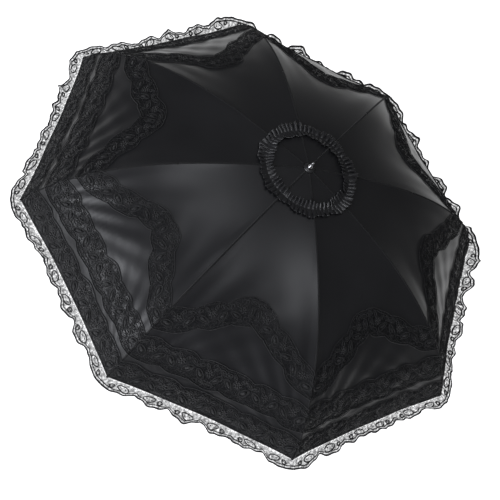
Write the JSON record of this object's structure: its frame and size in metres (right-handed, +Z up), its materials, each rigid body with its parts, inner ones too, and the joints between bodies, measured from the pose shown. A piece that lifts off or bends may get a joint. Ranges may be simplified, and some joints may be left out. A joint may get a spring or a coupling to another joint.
{
  "type": "lace parasol",
  "caption": "Folding parasol with a ribbed frame on a sliding runner and a domed satin cover trimmed with lace bands and a gathered ring.",
  "frame": {"origin": "middle of the flat end of the handle", "axes": "+Z up along the shaft towards the ferrule, the open cover's axis of symmetry; +X towards the two catches, midway between ribs 8 and 1"},
  "size_m": [0.9108, 0.9108, 0.7315],
  "materials": {
    "frame_steel": "satin",
    "black_plastic": "satin",
    "rod_fibreglass": "satin",
    "satin_cloth": "satin",
    "lace_thread": "matte",
    "handle_lacquer": "gloss",
    "bright_metal": "polished"
  },
  "bodies": {
    "shaft": {"shaft": "frame_steel", "handle_grip": "handle_lacquer", "handle_collar": "bright_metal", "crown": "black_plastic", "crown_wire": "frame_steel", "canopy_cap": "black_plastic", "ferrule": "bright_metal", "crown_ruffle": "satin_cloth"},
    "runner": {"runner": "black_plastic", "runner_wire": "frame_steel"},
    "top_catch": {"top_catch": "frame_steel"},
    "bottom_catch": {"bottom_catch": "frame_steel"},
    "rib_1": {"rib_1": "frame_steel", "canopy_panel_1": "satin_cloth"},
    "rod_1": {"rod_1": "rod_fibreglass", "rib_tip_1": "bright_metal", "hem_lace_1": "lace_thread"},
    "stretcher_1": {"stretcher_1": "frame_steel"},
    "rib_2": {"rib_2": "frame_steel", "canopy_panel_2": "satin_cloth"},
    "rod_2": {"rod_2": "rod_fibreglass", "rib_tip_2": "bright_metal", "hem_lace_2": "lace_thread"},
    "stretcher_2": {"stretcher_2": "frame_steel"},
    "rib_3": {"rib_3": "frame_steel", "canopy_panel_3": "satin_cloth"},
    "rod_3": {"rod_3": "rod_fibreglass", "rib_tip_3": "bright_metal", "hem_lace_3": "lace_thread"},
    "stretcher_3": {"stretcher_3": "frame_steel"},
    "rib_4": {"rib_4": "frame_steel", "canopy_panel_4": "satin_cloth"},
    "rod_4": {"rod_4": "rod_fibreglass", "rib_tip_4": "bright_metal", "hem_lace_4": "lace_thread"},
    "stretcher_4": {"stretcher_4": "frame_steel"},
    "rib_5": {"rib_5": "frame_steel", "canopy_panel_5": "satin_cloth"},
    "rod_5": {"rod_5": "rod_fibreglass", "rib_tip_5": "bright_metal", "hem_lace_5": "lace_thread"},
    "stretcher_5": {"stretcher_5": "frame_steel"},
    "rib_6": {"rib_6": "frame_steel", "canopy_panel_6": "satin_cloth"},
    "rod_6": {"rod_6": "rod_fibreglass", "rib_tip_6": "bright_metal", "hem_lace_6": "lace_thread"},
    "stretcher_6": {"stretcher_6": "frame_steel"},
    "rib_7": {"rib_7": "frame_steel", "canopy_panel_7": "satin_cloth"},
    "rod_7": {"rod_7": "rod_fibreglass", "rib_tip_7": "bright_metal", "hem_lace_7": "lace_thread"},
    "stretcher_7": {"stretcher_7": "frame_steel"},
    "rib_8": {"rib_8": "frame_steel", "canopy_panel_8": "satin_cloth"},
    "rod_8": {"rod_8": "rod_fibreglass", "rib_tip_8": "bright_metal", "hem_lace_8": "lace_thread"},
    "stretcher_8": {"stretcher_8": "frame_steel"}
  },
  "joints": [
    {"name": "canopy_fold", "type": "hinge", "parent": "shaft", "child": "rib_1", "pos_m": [0.00924, 0.00383, 0.70725], "axis": [-0.3827, 0.9239, 0], "range_deg": [0, 74.8], "deforming": ["canopy_panel_1", "canopy_panel_2", "canopy_panel_3", "canopy_panel_4", "canopy_panel_5", "canopy_panel_6", "canopy_panel_7", "canopy_panel_8", "hem_lace_1", "hem_lace_2", "hem_lace_3", "hem_lace_4", "hem_lace_5", "hem_lace_6", "hem_lace_7", "hem_lace_8", "crown_ruffle"]},
    {"name": "rod_1_bend", "type": "hinge", "parent": "rib_1", "child": "rod_1", "pos_m": [0.2266, 0.09386, 0.66948], "axis": [-0.3827, 0.9239, 0], "range_deg": [-21.03, 0]},
    {"name": "stretcher_1_swing", "type": "hinge", "parent": "rib_1", "child": "stretcher_1", "pos_m": [0.2266, 0.09386, 0.66948], "axis": [-0.3827, 0.9239, 0], "range_deg": [-149.7, 0]},
    {"name": "rib_2_fold", "type": "hinge", "parent": "shaft", "child": "rib_2", "pos_m": [0.00383, 0.00924, 0.70725], "axis": [-0.9239, 0.3827, 0], "range_deg": [0, 74.8]},
    {"name": "rod_2_bend", "type": "hinge", "parent": "rib_2", "child": "rod_2", "pos_m": [0.09386, 0.2266, 0.66948], "axis": [-0.9239, 0.3827, 0], "range_deg": [-21.03, 0]},
    {"name": "stretcher_2_swing", "type": "hinge", "parent": "rib_2", "child": "stretcher_2", "pos_m": [0.09386, 0.2266, 0.66948], "axis": [-0.9239, 0.3827, 0], "range_deg": [-149.7, 0]},
    {"name": "rib_3_fold", "type": "hinge", "parent": "shaft", "child": "rib_3", "pos_m": [-0.00383, 0.00924, 0.70725], "axis": [-0.9239, -0.3827, 0], "range_deg": [0, 74.8]},
    {"name": "rod_3_bend", "type": "hinge", "parent": "rib_3", "child": "rod_3", "pos_m": [-0.09386, 0.2266, 0.66948], "axis": [-0.9239, -0.3827, 0], "range_deg": [-21.03, 0]},
    {"name": "stretcher_3_swing", "type": "hinge", "parent": "rib_3", "child": "stretcher_3", "pos_m": [-0.09386, 0.2266, 0.66948], "axis": [-0.9239, -0.3827, 0], "range_deg": [-149.7, 0]},
    {"name": "rib_4_fold", "type": "hinge", "parent": "shaft", "child": "rib_4", "pos_m": [-0.00924, 0.00383, 0.70725], "axis": [-0.3827, -0.9239, 0], "range_deg": [0, 74.8]},
    {"name": "rod_4_bend", "type": "hinge", "parent": "rib_4", "child": "rod_4", "pos_m": [-0.2266, 0.09386, 0.66948], "axis": [-0.3827, -0.9239, 0], "range_deg": [-21.03, 0]},
    {"name": "stretcher_4_swing", "type": "hinge", "parent": "rib_4", "child": "stretcher_4", "pos_m": [-0.2266, 0.09386, 0.66948], "axis": [-0.3827, -0.9239, 0], "range_deg": [-149.7, 0]},
    {"name": "rib_5_fold", "type": "hinge", "parent": "shaft", "child": "rib_5", "pos_m": [-0.00924, -0.00383, 0.70725], "axis": [0.3827, -0.9239, 0], "range_deg": [0, 74.8]},
    {"name": "rod_5_bend", "type": "hinge", "parent": "rib_5", "child": "rod_5", "pos_m": [-0.2266, -0.09386, 0.66948], "axis": [0.3827, -0.9239, 0], "range_deg": [-21.03, 0]},
    {"name": "stretcher_5_swing", "type": "hinge", "parent": "rib_5", "child": "stretcher_5", "pos_m": [-0.2266, -0.09386, 0.66948], "axis": [0.3827, -0.9239, 0], "range_deg": [-149.7, 0]},
    {"name": "rib_6_fold", "type": "hinge", "parent": "shaft", "child": "rib_6", "pos_m": [-0.00383, -0.00924, 0.70725], "axis": [0.9239, -0.3827, 0], "range_deg": [0, 74.8]},
    {"name": "rod_6_bend", "type": "hinge", "parent": "rib_6", "child": "rod_6", "pos_m": [-0.09386, -0.2266, 0.66948], "axis": [0.9239, -0.3827, 0], "range_deg": [-21.03, 0]},
    {"name": "stretcher_6_swing", "type": "hinge", "parent": "rib_6", "child": "stretcher_6", "pos_m": [-0.09386, -0.2266, 0.66948], "axis": [0.9239, -0.3827, 0], "range_deg": [-149.7, 0]},
    {"name": "rib_7_fold", "type": "hinge", "parent": "shaft", "child": "rib_7", "pos_m": [0.00383, -0.00924, 0.70725], "axis": [0.9239, 0.3827, 0], "range_deg": [0, 74.8]},
    {"name": "rod_7_bend", "type": "hinge", "parent": "rib_7", "child": "rod_7", "pos_m": [0.09386, -0.2266, 0.66948], "axis": [0.9239, 0.3827, 0], "range_deg": [-21.03, 0]},
    {"name": "stretcher_7_swing", "type": "hinge", "parent": "rib_7", "child": "stretcher_7", "pos_m": [0.09386, -0.2266, 0.66948], "axis": [0.9239, 0.3827, 0], "range_deg": [-149.7, 0]},
    {"name": "rib_8_fold", "type": "hinge", "parent": "shaft", "child": "rib_8", "pos_m": [0.00924, -0.00383, 0.70725], "axis": [0.3827, 0.9239, 0], "range_deg": [0, 74.8]},
    {"name": "rod_8_bend", "type": "hinge", "parent": "rib_8", "child": "rod_8", "pos_m": [0.2266, -0.09386, 0.66948], "axis": [0.3827, 0.9239, 0], "range_deg": [-21.03, 0]},
    {"name": "stretcher_8_swing", "type": "hinge", "parent": "rib_8", "child": "stretcher_8", "pos_m": [0.2266, -0.09386, 0.66948], "axis": [0.3827, 0.9239, 0], "range_deg": [-149.7, 0]},
    {"name": "runner_pivot", "type": "hinge", "parent": "stretcher_1", "child": "runner", "pos_m": [0.00924, 0.00383, 0.63171], "axis": [-0.3827, 0.9239, 0], "range_deg": [0, 74.8]},
    {"name": "top_catch_press", "type": "slide", "parent": "shaft", "child": "top_catch", "axis": [-1, 0, 0], "range_m": [0, 0.0028], "stiffness_N_per_m": 300},
    {"name": "bottom_catch_press", "type": "slide", "parent": "shaft", "child": "bottom_catch", "axis": [-1, 0, 0], "range_m": [0, 0.0028], "stiffness_N_per_m": 300}
  ],
  "couplings": [
    {"joint": "rod_1_bend", "follows": "canopy_fold", "ratio": -0.27977},
    {"joint": "stretcher_1_swing", "follows": "canopy_fold", "ratio": -2},
    {"joint": "rib_2_fold", "follows": "canopy_fold", "ratio": 1},
    {"joint": "rod_2_bend", "follows": "canopy_fold", "ratio": -0.27977},
    {"joint": "stretcher_2_swing", "follows": "canopy_fold", "ratio": -2},
    {"joint": "rib_3_fold", "follows": "canopy_fold", "ratio": 1},
    {"joint": "rod_3_bend", "follows": "canopy_fold", "ratio": -0.27977},
    {"joint": "stretcher_3_swing", "follows": "canopy_fold", "ratio": -2},
    {"joint": "rib_4_fold", "follows": "canopy_fold", "ratio": 1},
    {"joint": "rod_4_bend", "follows": "canopy_fold", "ratio": -0.27977},
    {"joint": "stretcher_4_swing", "follows": "canopy_fold", "ratio": -2},
    {"joint": "rib_5_fold", "follows": "canopy_fold", "ratio": 1},
    {"joint": "rod_5_bend", "follows": "canopy_fold", "ratio": -0.27977},
    {"joint": "stretcher_5_swing", "follows": "canopy_fold", "ratio": -2},
    {"joint": "rib_6_fold", "follows": "canopy_fold", "ratio": 1},
    {"joint": "rod_6_bend", "follows": "canopy_fold", "ratio": -0.27977},
    {"joint": "stretcher_6_swing", "follows": "canopy_fold", "ratio": -2},
    {"joint": "rib_7_fold", "follows": "canopy_fold", "ratio": 1},
    {"joint": "rod_7_bend", "follows": "canopy_fold", "ratio": -0.27977},
    {"joint": "stretcher_7_swing", "follows": "canopy_fold", "ratio": -2},
    {"joint": "rib_8_fold", "follows": "canopy_fold", "ratio": 1},
    {"joint": "rod_8_bend", "follows": "canopy_fold", "ratio": -0.27977},
    {"joint": "stretcher_8_swing", "follows": "canopy_fold", "ratio": -2},
    {"joint": "runner_pivot", "follows": "canopy_fold", "ratio": 1}
  ]
}
